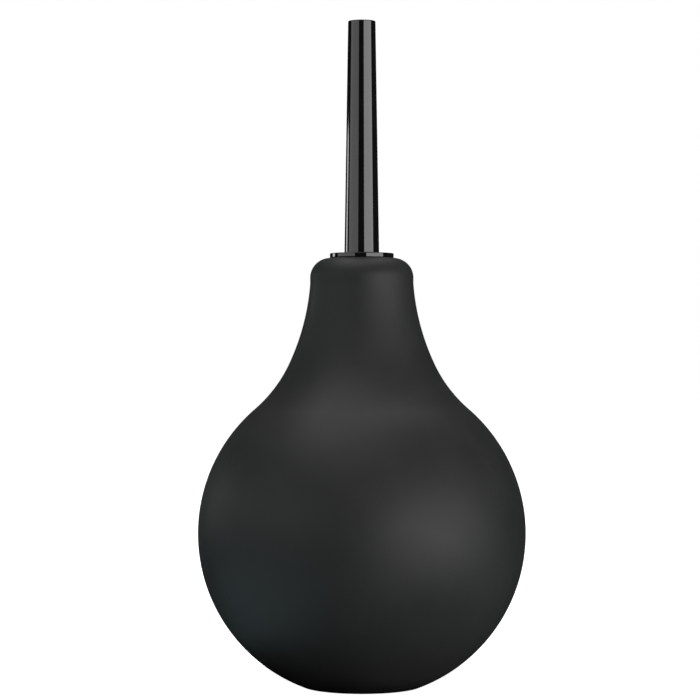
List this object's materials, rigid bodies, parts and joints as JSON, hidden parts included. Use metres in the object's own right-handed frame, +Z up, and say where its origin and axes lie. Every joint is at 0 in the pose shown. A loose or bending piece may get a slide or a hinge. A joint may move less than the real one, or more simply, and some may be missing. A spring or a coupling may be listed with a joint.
{
  "type": "dust blower bulb",
  "caption": "Hand-squeezed rubber air bulb with a flat foot, a thick neck, a slender flanged nozzle pushed into the neck and an inlet valve in the foot.",
  "frame": {"origin": "centre of the foot, on the surface that the bulb stands on", "axes": "+Z up the axis of revolution, from the foot to the nozzle's tip; X and Y are alike"},
  "size_m": [0.066, 0.066, 0.1339],
  "materials": {
    "bulb_rubber": "matte moulded rubber",
    "nozzle_plastic": "gloss moulded plastic",
    "valve_plastic": "satin moulded plastic",
    "flap_rubber": "soft grey rubber"
  },
  "bodies": {
    "bulb": {"bulb": "bulb_rubber"},
    "nozzle": {"nozzle": "nozzle_plastic"},
    "inlet_valve": {"inlet_valve_seat": "valve_plastic"},
    "valve_flap": {"inlet_valve_flap": "flap_rubber"}
  },
  "joints": [
    {"name": "nozzle_pull", "type": "slide", "parent": "bulb", "child": "nozzle", "axis": [0, 0, 1], "range_m": [0, 0.025]},
    {"name": "squeeze", "type": "slide", "parent": "bulb", "child": "inlet_valve", "axis": [0, 0, 1], "range_m": [0, 0.02], "stiffness_N_per_m": 1500, "deforming": ["bulb"]},
    {"name": "valve_lift", "type": "slide", "parent": "inlet_valve", "child": "valve_flap", "axis": [0, 0, 1], "range_m": [0, 0.0008], "stiffness_N_per_m": 50}
  ]
}
